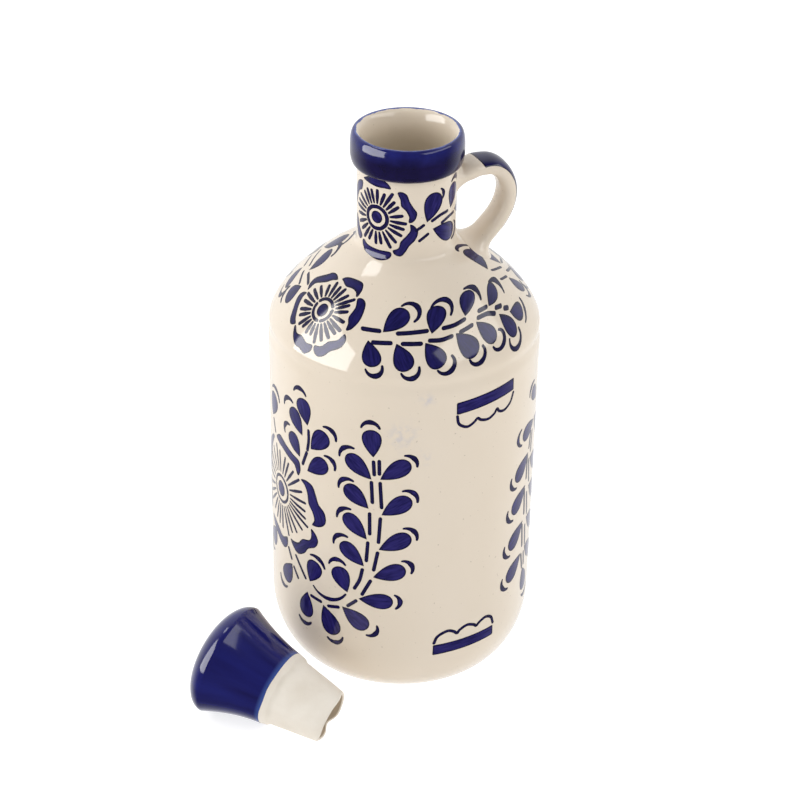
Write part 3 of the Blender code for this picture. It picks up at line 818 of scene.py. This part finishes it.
def mark_bore_shade(piece):
    """Painted shade in the bore: the glaze on the inner walls is darkened and greyed, fading in below the
    mouth.
    """
    points = np.array([v.co for v in piece.data.vertices])
    radius = np.hypot(points[:, 0], points[:, 1])
    skin = np.interp(points[:, 2], SKIN.points[:, 1], SKIN.points[:, 0])
    # How strong the painted shade is: none at the top of the mouth, full from 12 mm down.
    shade_depth = np.clip((HEIGHT - points[:, 2]) / 0.012, 0, 1)
    set_values(piece, "inside", np.where(radius < skin - 0.0006, shade_depth, 0.0))


SMUDGES = ((-80, 0.1325, 0.0022), (-90, 0.1175, 0.0046), (-80, 0.1085, 0.0020))    # turn, height, size
SMUDGE_STRENGTH = 0.45
FOOT_RING = 0.0278         # what the bottle stands on
FOOT_RECESS = 0.0004
FOOT_CLAY = 0.0270
LIP_GLAZE = 0.00012        # how thick the cobalt is on the collar
LIP_WEAR = 0.0004          # how far it starts, on average, inside the crest
LIP_RAG = 0.00050          # and how much that varies


def body_piece():
    top = CREASE_HEIGHT
    wall = straight((BODY_RADIUS, top), (LOW_RADIUS, ROUNDING_HEIGHT), 400)
    outside = np.vstack([
        with_relief(np.vstack([wall[:40], wall[40::10]])),
        ellipse((FOOT_RADIUS, ROUNDING_HEIGHT), LOW_RADIUS - FOOT_RADIUS, ROUNDING_HEIGHT, 0, -90, 32)[1:]])
    foot = np.array([(FOOT_RING, 0.0), (FOOT_RING - FOOT_RECESS, FOOT_RECESS), (0.0, FOOT_RECESS)])
    inside = ellipse((FOOT_RADIUS, ROUNDING_HEIGHT), LOW_RADIUS - FOOT_RADIUS - WALL,
                     ROUNDING_HEIGHT - FLOOR, -90, 0, 20)
    outline = np.vstack([[(0.0, FLOOR)], inside, [(BODY_RADIUS - WALL, top)], outside, foot])
    points, faces = turned(outline, False, BOTTLE_SIDES)
    piece = new_piece("body_glaze", points, faces, cream, "bottle")
    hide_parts("body_cylinder")
    angle, height = np.arctan2(points[:, 1], points[:, 0]), points[:, 2]
    smudge = np.zeros(len(points))
    for turn, middle, size in SMUDGES:
        away = np.hypot((angle - math.radians(turn)) * BODY_RADIUS, height - middle)
        smudge += SMUDGE_STRENGTH * np.exp(-(away / size) ** 2)
    set_values(piece, "smudge", smudge)


def foot_piece():
    """The bare clay under the bottle, wiped clean of glaze."""
    top, low = 0.0009, 0.0001
    disc = np.array([(0.0, top), (FOOT_CLAY, top), (FOOT_CLAY, low), (0.0, low)])
    points, faces = turned(disc, False, 96)
    new_piece("foot_clay", points, faces, clay, "bottle")


def shoulder_piece():
    outside = shoulder_curve(24)
    inside = inset(outside, WALL)[1:-8]
    inside = inside[inside[:, 0] > BORE_RADIUS + 0.0004]
    outline = np.vstack([outside, [(BODY_RADIUS - WALL, CREASE_HEIGHT)], inside[::-1],
                         [(BORE_RADIUS, SHOULDER_TOP - 0.0030), (BORE_RADIUS, SHOULDER_TOP)]])
    points, faces = turned(outline, True, BOTTLE_SIDES)
    piece = new_piece("shoulder_glaze", points, faces, cream, "bottle")
    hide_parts("shoulder_dome")
    mark_bore_shade(piece)


def neck_piece():
    top = HEIGHT - COLLAR_HEIGHT
    outline = np.vstack([straight((NECK_RADIUS, top), (NECK_RADIUS, SHOULDER_TOP), 8),
                         straight((BORE_RADIUS, SHOULDER_TOP), (BORE_RADIUS, top), 8)])
    points, faces = turned(outline, True, BOTTLE_SIDES)
    piece = new_piece("neck_glaze", points, faces, cream, "bottle")
    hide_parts("neck_tube")
    mark_bore_shade(piece)


def collar_pieces():
    """The mouth's cream core, and the cobalt shell over its outside with a ragged inner edge."""
    core = inset(collar_curve(14), LIP_GLAZE)
    crest = (COLLAR_CREST, HEIGHT - LIP_GLAZE)
    lip = bezier((BORE_RADIUS, LIP_START), (BORE_RADIUS, (LIP_START + HEIGHT) / 2),
                 ((BORE_RADIUS + COLLAR_CREST) / 2, HEIGHT - LIP_GLAZE), crest, 14)
    outline = np.vstack([lip, core[1:], [(BORE_RADIUS, HEIGHT - COLLAR_HEIGHT)]])
    points, faces = turned(outline, True, BOTTLE_SIDES)
    rim = new_piece("mouth_rim", points, faces, cream, "bottle")
    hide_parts("mouth_collar")
    mark_bore_shade(rim)

    inner = bezier((BORE_RADIUS, LIP_START), (BORE_RADIUS, (LIP_START + HEIGHT) / 2),
                   ((BORE_RADIUS + COLLAR_CREST) / 2, HEIGHT), (COLLAR_CREST, HEIGHT), 40)
    full = np.vstack([inner, collar_curve(24)[1:], [(NECK_RADIUS + 0.0001, HEIGHT - COLLAR_HEIGHT)]])
    step = np.concatenate([[0], np.cumsum(np.linalg.norm(np.diff(full, axis=0), axis=1))])
    start_mean = step[len(inner) - 1] - LIP_WEAR
    rows, sides = 40, 360
    points, rims = [], []
    for k in range(sides):
        angle = math.tau * k / sides
        ragged = noise.fractal(Vector((3 * math.cos(angle), 3 * math.sin(angle), 3.0)), 0.7, 2.3, 6)
        start = start_mean + LIP_RAG * ragged
        at = start + (step[-1] - start) * np.arange(rows) / (rows - 1)
        outer = np.stack([np.interp(at, step, full[:, i]) for i in (0, 1)], 1)
        low = inset(outer, PAINT_DEPTH)
        for r, z in np.vstack([outer, low[::-1]]):
            points.append((r * math.cos(angle), r * math.sin(angle), z))
        near = np.clip((at - start) * 1000, 0, 2)
        rims.append(np.concatenate([near, near[::-1]]))
    band = new_piece("mouth_band", points, ring_faces(sides, 2 * rows), mouth_blue, "bottle")
    set_values(band, "rim", np.concatenate(rims))
    # How far down the collar each point is, for the band's painted shade and crown highlight.
    set_values(band, "painted_shade_drop", (HEIGHT - np.array(points)[:, 2]) / COLLAR_HEIGHT)


# ---------------------------------------------------------------- the handle

HANDLE_PATH = [
    ((0.0176, 0.1950), (0.0030, 0.0003)),
    ((0.0226, 0.1968), (0.0024, 0.0009)),
    ((0.0298, 0.1980), (0.0046, -0.0002)),
    ((0.0379, 0.1872), (0.0000, -0.0048)),
    ((0.0325, 0.1741), (-0.0033, -0.0040)),
    ((0.0238, 0.1648), (-0.0030, -0.0030)),
]
FILLET_TOP = 0.0036
FILLET_LOW = 0.0052
ROOT_BLEND = 1.6           # how far the strap hugs the bottle, in fillet radii
ROOT_THICKENING = 0.75
TOP_WIDENING = 0.0010      # extra half width of the first and the last third
LOW_WIDENING = 0.0008
SQUARENESS = 0.86          # 1 makes the strap's section an ellipse
HANDLE_ROWS = 120
HANDLE_SIDES = 64
STRIPE_START = 0.160       # shares of the strap's length
STRIPE_SLANT = 0.022
STRIPE_END = 0.78
STRIPE_REACH = math.radians(74)
STRIPE_NARROWING = 0.27    # reached two fifths of the way along
STRIPE_BOW = 0.010         # how much its start curves back at both edges
STRIPE_ROUND = 0.14        # the share of it that rounds off its end
STRIPE_TIP = 0.03          # how narrow it ends


def handle_frame():
    """The strap's centre line in its own plane, its directions and its distance from both roots."""
    line = []
    for (a, pull_a), (b, pull_b) in zip(HANDLE_PATH, HANDLE_PATH[1:]):
        line.append(bezier(a, np.add(a, pull_a), np.subtract(b, pull_b), b, 40)[:-1])
    line = np.vstack(line + [[HANDLE_PATH[-1][0]]])
    step = np.concatenate([[0], np.cumsum(np.linalg.norm(np.diff(line, axis=0), axis=1))])
    at = np.linspace(0, step[-1], HANDLE_ROWS)
    line = np.stack([np.interp(at, step, line[:, i]) for i in (0, 1)], 1)
    along = np.gradient(line, axis=0)
    along /= np.linalg.norm(along, axis=1)[:, None]
    turn = np.array([math.cos(HANDLE_TURN), math.sin(HANDLE_TURN), 0.0])
    points = line[:, :1] * turn + line[:, 1:] * np.array([0, 0, 1.0])
    out, _ = SKIN.distance(points)
    outward = np.stack([-along[:, 1], along[:, 0]], 1)
    outward = outward[:, :1] * turn + outward[:, 1:] * np.array([0, 0, 1.0])
    return points, outward, at, out, step[-1]


def fillet(distance, radius):
    """How much wider a strap is at this distance from the wall it grows out of."""
    left = np.clip(distance / radius, 0, 1)
    return radius * (1 - np.sqrt(1 - (1 - left) ** 2))


def handle_surface(angles):
    """Rows of points round the strap, at angles from its outer face. Both ends hug the bottle."""
    centre, outward, at, out, total = handle_frame()
    side = np.array([-math.sin(HANDLE_TURN), math.cos(HANDLE_TURN), 0.0])
    flare = np.zeros(HANDLE_ROWS)
    blend = np.zeros(HANDLE_ROWS)
    half = HANDLE_ROWS // 2
    for part, radius in ((slice(0, half), FILLET_TOP), (slice(half, None), FILLET_LOW)):
        flare[part] = fillet(np.maximum(out[part], 0), radius)
        blend[part] = np.clip(1 - out[part] / (ROOT_BLEND * radius), 0, 1)
    blend = blend * blend * (3 - 2 * blend)
    thick = HANDLE_HALF_THICKNESS + ROOT_THICKENING * flare
    wide = HANDLE_HALF_WIDTH + flare + TOP_WIDENING * np.clip(1 - at / total * 3, 0, 1)
    wide = wide + LOW_WIDENING * np.clip(at / total * 3 - 2, 0, 1)
    c, s = (np.sign(f) * np.abs(f) ** SQUARENESS for f in (np.cos(angles), np.sin(angles)))
    rows = (centre[:, None] + outward[:, None] * (thick[:, None] * c[None])[..., None]
            + side[None, None] * (wide[:, None] * s[None])[..., None])
    flat = rows.reshape(-1, 3)
    gap, normal = SKIN.distance(flat)
    wanted = np.repeat(np.maximum(out, -0.0006), len(angles))
    move = (wanted - gap) * np.repeat(blend, len(angles))
    return (flat + normal * move[:, None]).reshape(HANDLE_ROWS, len(angles), 3)


def handle_piece():
    angles = np.arange(HANDLE_SIDES) * math.tau / HANDLE_SIDES
    rows = handle_surface(angles)
    points = rows.reshape(-1, 3)
    wobble = np.array([noise.noise(Vector(p) * 90) for p in points]) * 0.00012
    centre = np.repeat(rows.mean(1), HANDLE_SIDES, 0)
    away = points - centre
    points = points + away / np.linalg.norm(away, axis=1)[:, None] * wobble[:, None]
    faces = []
    for i in range(HANDLE_ROWS - 1):
        for k in range(HANDLE_SIDES):
            m = (k + 1) % HANDLE_SIDES
            a, b = i * HANDLE_SIDES, (i + 1) * HANDLE_SIDES
            faces.append((a + k, a + m, b + m, b + k))
    faces.append(tuple(range(HANDLE_SIDES))[::-1])
    faces.append(tuple(range((HANDLE_ROWS - 1) * HANDLE_SIDES, HANDLE_ROWS * HANDLE_SIDES)))
    piece = new_piece("handle_glaze", points, faces, cream, "bottle", 70)
    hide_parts("handle_loop")


def handle_stripe():
    """The cobalt brushed along the strap's outer face, from a slanted start to a tapered end."""
    reach = math.radians(88)
    angles = np.linspace(-reach, reach, 89)
    rows = handle_surface(angles)
    normal = np.cross(np.gradient(rows, axis=1), np.gradient(rows, axis=0))
    normal /= np.linalg.norm(normal, axis=2)[..., None]
    if (normal[40, 44] * (rows[40, 44] - rows[40].mean(0))).sum() < 0:
        normal = -normal
    long, wide = 90, 28
    points, rims = [], []
    for lift in (PAINT_LIFT + 0.00002, -PAINT_DEPTH):
        for i in range(long + 1):
            along = i / long
            last = max(0.0, 1 - (1 - along) / STRIPE_ROUND)
            taper = math.sqrt(1 - last * last) * (1 - STRIPE_TIP) + STRIPE_TIP
            taper *= 1 - STRIPE_NARROWING * min(1.0, along / 0.4)
            for j in range(wide + 1):
                across = 2 * j / wide - 1
                start = STRIPE_START - STRIPE_SLANT * across + STRIPE_BOW * across * across
                u = (start + (STRIPE_END - start) * along) * (HANDLE_ROWS - 1)
                v = (STRIPE_REACH * across * taper / reach + 1) / 2 * (len(angles) - 1)
                i0, j0 = min(int(u), HANDLE_ROWS - 2), min(int(v), len(angles) - 2)
                fu, fv = u - i0, v - j0
                place, facing = ((1 - fu) * ((1 - fv) * g[i0, j0] + fv * g[i0, j0 + 1])
                                 + fu * ((1 - fv) * g[i0 + 1, j0] + fv * g[i0 + 1, j0 + 1])
                                 for g in (rows, normal))
                points.append(place + facing * lift)
                rims.append(min(6 * (1 - abs(across)), 40 * along, 30 * (1 - along), 2.0))
    faces = []
    stride, half = wide + 1, (long + 1) * (wide + 1)
    for i in range(long):
        for j in range(wide):
            a = i * stride + j
            faces.append((a, a + 1, a + 1 + stride, a + stride))
            faces.append((half + a, half + a + stride, half + a + 1 + stride, half + a + 1))
    border = ([(i * stride, (i + 1) * stride) for i in range(long)]
              + [((i + 1) * stride + wide, i * stride + wide) for i in range(long)]
              + [(j + 1, j) for j in range(wide)]
              + [(long * stride + j, long * stride + j + 1) for j in range(wide)])
    faces += [(a, b, half + b, half + a) for a, b in border]
    stripe = new_piece("handle_stripe", points, faces, stripe_blue, "bottle", 50)
    set_values(stripe, "rim", rims)
    set_vectors(stripe, "grain", [(2 * (k % stride) / wide, (k % half) // stride / long * 3, 0.5)
                                  for k in range(len(points))])


# ---------------------------------------------------------------- the stopper

def stopper_matrix():
    """From the stopper's own upright frame, glaze line at 0, to where it lies."""
    tilt = math.atan2(HEAD_RADIUS - TIP_RADIUS, STOPPER_LENGTH - TIP_ROUND - HEAD_DOME)
    crown = Vector((*STOPPER_CROWN, HEAD_DOME * math.sin(tilt) + HEAD_RADIUS * math.cos(tilt)))
    towards_tip = Vector((math.cos(tilt) * math.cos(STOPPER_HEADING),
                          math.cos(tilt) * math.sin(STOPPER_HEADING), -math.sin(tilt)))
    turn = Matrix.Rotation(STOPPER_HEADING, 4, 'Z') @ Matrix.Rotation(tilt - math.pi / 2, 4, 'Y')
    return Matrix.Translation(crown + towards_tip * HEAD_HEIGHT) @ turn


def smooth(share):
    share = min(1.0, max(0.0, share))
    return share * share * (3 - 2 * share)


def lumpy(amount, scale):
    """A slight hand-thrown unevenness that only ever cuts into the true shape."""
    def warp(point):
        lump = amount * (1 + noise.noise(point * scale)) / 2
        flat = Vector((point.x, point.y, 0))
        if flat.length < 1e-6:
            return point
        return point - flat.normalized() * lump
    return warp


def stopper_head_piece(matrix):
    ring = HEAD_HEIGHT - HEAD_DOME
    dome = np.array([(HEAD_RADIUS * math.sin(a) ** 0.9, ring + HEAD_DOME * math.cos(a))
                     for a in np.linspace(0, math.pi / 2, 25)])
    left = np.linspace(1, 0, 33)[1:]
    flank = HEAD_FLARE * left + (1 - HEAD_FLARE) * left * left
    side = np.stack([SEAT_RADIUS + (HEAD_RADIUS - SEAT_RADIUS) * flank, ring * left], 1)
    crown = HEAD_HEIGHT - HEAD_WALL
    hollow = ellipse((0, crown - STOPPER_HOLLOW), STOPPER_HOLLOW, STOPPER_HOLLOW, 0, 90, 10)
    hollow[-1, 0] = 0.0
    outline = np.vstack([dome, side, [(STOPPER_HOLLOW, 0.0)], hollow])
    points, faces = turned(outline, False, STOPPER_SIDES, lumpy(0.00025, 70))
    wave = np.array([GLAZE_WAVE * noise.noise(Vector((math.cos(a), math.sin(a), 0)) * 1.8)
                     for a in np.arctan2(points[:, 1], points[:, 0])])
    points[:, 2] += wave * np.clip(1 - points[:, 2] / GLAZE_WAVE_REACH, 0, 1)
    height = points[:, 2].copy()
    angle = np.arctan2(points[:, 1], points[:, 0])
    grain = np.stack([np.cos(angle) * 3.2, np.sin(angle) * 3.2, height * 26], 1)
    placed = np.array([matrix @ Vector(p) for p in points])
    head = new_piece("stopper_glaze", placed, faces, head_blue, "stopper")
    set_values(head, "rim", np.clip(height * 100, 0, 3))
    set_vectors(head, "grain", grain)
    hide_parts("stopper_head")


def stopper_shank_piece(matrix):
    """The bare shank: a step, a taper, and a torn end with a tongue and a chip."""
    tip = HEAD_HEIGHT - STOPPER_LENGTH
    rows = []
    for k in range(STOPPER_SIDES):
        a = math.tau * k / STOPPER_SIDES
        swing = Vector((math.cos(a), math.sin(a), 0))
        step = STEP_WAVE * noise.noise(swing * 2.1 + Vector((4, 0, 0)))
        torn = noise.fractal(swing * 3.0 + Vector((9, 0, 0)), 0.8, 2.0, 3)
        tongue = TONGUE_LENGTH * smooth(math.cos(a - TONGUE_SIDE) / 0.8)
        chip = CHIP_DEPTH * math.exp(-((a - CHIP_SIDE) / CHIP_WIDTH) ** 2)
        end = tip - tongue + chip + TORN_WAVE * torn
        top = SEAT_WAVE * noise.noise(swing * 1.8) - 0.00005
        seat = -SEAT_HEIGHT + step
        hole = TIP_RADIUS - TIP_WALL
        outline = np.vstack([
            [(SEAT_RADIUS - 0.00012, top), (SEAT_RADIUS - 0.0002, top - 0.0006)],
            [(SEAT_LOW_RADIUS + 0.0001, seat + 0.0012)],
            bezier((SEAT_LOW_RADIUS, seat + 0.0008), (SEAT_LOW_RADIUS - 0.0001, seat - 0.0002),
                   (SHANK_RADIUS + 0.0002, seat + 0.0002), (SHANK_RADIUS, seat - 0.0020), 8),
            straight((SHANK_RADIUS, seat - 0.0024), (TIP_RADIUS + 0.0001, end + 0.0014), 10),
            ellipse((TIP_RADIUS - TIP_WALL / 2, end + TIP_ROUND), TIP_WALL / 2, TIP_ROUND, 0, -180, 12),
            [(hole, end + 0.0020), (TIP_HOLLOW, tip + 0.0052),
             (STOPPER_HOLLOW - 0.0002, tip + 0.0120), (STOPPER_HOLLOW, 0.0002)]])
        rows.append(np.stack([outline[:, 0] * math.cos(a), outline[:, 0] * math.sin(a), outline[:, 1]], 1))
    points = np.vstack(rows)
    warp = lumpy(0.0002, 120)
    placed = np.array([matrix @ warp(Vector(p)) for p in points])
    faces = ring_faces(STOPPER_SIDES, len(rows[0]))
    shank = new_piece("stopper_bisque", placed, faces, clay, "stopper", 50)
    # Points in the hole of the torn end are darkened through the clay's 'inside' value: painted shade, with
    # some dirt.
    bore = np.array([math.hypot(p[0], p[1]) < TIP_RADIUS - TIP_WALL + 0.0002 for p in points])
    set_values(shank, "inside", bore.astype(float))
    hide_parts("stopper_shank")


body_piece()
foot_piece()
shoulder_piece()
neck_piece()
collar_pieces()
handle_piece()
handle_stripe()
lying = stopper_matrix()
stopper_head_piece(lying)
stopper_shank_piece(lying)

# Where each motif is: its turn in degrees and its distance along the outline in millimetres. All but the
# neck's are repeated half a turn further. Its place in the order gives each its streaks.
NECK = [
    ("neck_flower", neck_flower, -124.5, 201.2),
    ("neck_sprig", neck_sprig, -75, 201.2),
]
BOTH_SIDES = [
    # The shoulder's motifs take the darker copy of the cobalt: painted shade.
    ("shoulder_flower", shoulder_flower, -137, 159, shoulder_shaded_blue),
    ("shoulder_sprig", shoulder_sprig, -90, 152, shoulder_shaded_blue),
    ("body_flower", body_flower, -153.8, 78.2, paint_blue),
    ("body_small_sprig", small_sprig, -153.8, 78.2, paint_blue),
    ("body_big_sprig", big_sprig, -105, 78, paint_blue),
    ("body_right_sprig", right_sprig, -20, 80, paint_blue),
    ("upper_cartouche", upper_cartouche, -52, 129, paint_blue),
    ("lower_cartouche", lower_cartouche, -59, 26, paint_blue),
]
for seed, (name, motif, turn, start) in enumerate(NECK, 1):
    paint(name, motif(), turn, start, paint_blue, seed)
for side, half_turn in (("front", 0), ("back", 180)):
    for seed, (name, motif, turn, start, glaze) in enumerate(BOTH_SIDES, len(NECK) + 1):
        paint(f"{name}_{side}", motif(), half_turn + turn, start, glaze, seed)


# ---------------------------------------------------------------- stage, camera and light

def stage_floor():
    mesh = bpy.data.meshes.new("floor")
    size = 4.0
    corners = [(-size, -size, 0), (size, -size, 0), (size, size, 0), (-size, size, 0)]
    mesh.from_pydata(corners, [], [(0, 1, 2, 3)])
    floor = bpy.data.objects.new("floor", mesh)
    bpy.context.scene.collection.objects.link(floor)
    look = Look("floor", 0.9)
    look.shader.inputs["Base Color"].default_value = (0.52, 0.52, 0.52, 1)
    look.shader.inputs["Emission Color"].default_value = (1, 1, 1, 1)
    look.shader.inputs["Emission Strength"].default_value = 0.80
    look.shader.inputs["Specular IOR Level"].default_value = 0.0
    mesh.materials.append(look.material)
    floor.visible_glossy = False


def softbox(name, place, target, width, height, power, reflected=True, lit=True):
    light = bpy.data.lights.new(name, 'AREA')
    light.shape = 'RECTANGLE'
    light.size, light.size_y = width, height
    light.energy = power
    lamp = bpy.data.objects.new(name, light)
    lamp.location = place
    lamp.rotation_euler = (Vector(target) - Vector(place)).to_track_quat('-Z', 'Y').to_euler()
    lamp.visible_glossy = reflected
    lamp.visible_diffuse = lit
    bpy.context.scene.collection.objects.link(lamp)


def studio_world():
    """A white backdrop behind the bottle and a dim room in front of it."""
    world = bpy.data.worlds.new("studio")
    world.use_nodes = True
    nodes, links = world.node_tree.nodes, world.node_tree.links
    direction = nodes.new('ShaderNodeTexCoord').outputs["Generated"]
    axes = nodes.new('ShaderNodeSeparateXYZ')
    links.new(direction, axes.inputs[0])
    spread = nodes.new('ShaderNodeMapRange')
    spread.interpolation_type = 'SMOOTHSTEP'
    for place, value in zip(("From Min", "From Max", "To Min", "To Max"), (-0.2, 0.7, 0.12, 1.0)):
        spread.inputs[place].default_value = value
    links.new(axes.outputs["Y"], spread.inputs["Value"])
    links.new(spread.outputs["Result"], nodes["Background"].inputs["Strength"])
    nodes["Background"].inputs["Color"].default_value = (1, 1, 1, 1)
    bpy.context.scene.world = world


def camera_at(place, pitch, roll, yaw, lens):
    data = bpy.data.cameras.new("camera")
    data.sensor_width = 36
    data.lens = lens
    camera = bpy.data.objects.new("camera", data)
    camera.matrix_world = (Matrix.Translation(place) @ Matrix.Rotation(-yaw, 4, 'Z')
                           @ Matrix.Rotation(math.pi / 2 - pitch, 4, 'X') @ Matrix.Rotation(roll, 4, 'Z'))
    bpy.context.scene.collection.objects.link(camera)
    bpy.context.scene.camera = camera


stage_floor()
studio_world()
bpy.context.scene.view_settings.view_transform = 'Standard'
softbox("left_softbox", (-0.82, -0.22, 0.62), (0, 0, 0.15), 1.00, 0.80, 5.8, reflected=False)
softbox("right_softbox", (0.645, -0.357, 0.656), (0, 0, 0.15), 1.15, 0.72, 3.9, reflected=False)
softbox("fill", (0, -0.50, 1.20), (0, 0, 0.10), 1.2, 1.0, 1.9, reflected=False)
softbox("left_glint", (-0.80, -0.36, 0.45), (0, -0.36, 0.45), 0.92, 0.90, 18, lit=False)
softbox("right_glint", (0.668, -0.284, 0.668), (0, 0, 0.15), 1.00, 0.36, 2.9, lit=False)
softbox("rear_softbox", (-0.449, 0.253, 1.14), (0, 0, 0.17), 0.26, 0.24, 1.1)
camera_at((0, -1.00759, 0.673786), 0.5142029, 0.0169833, -0.00113729, 140.05)
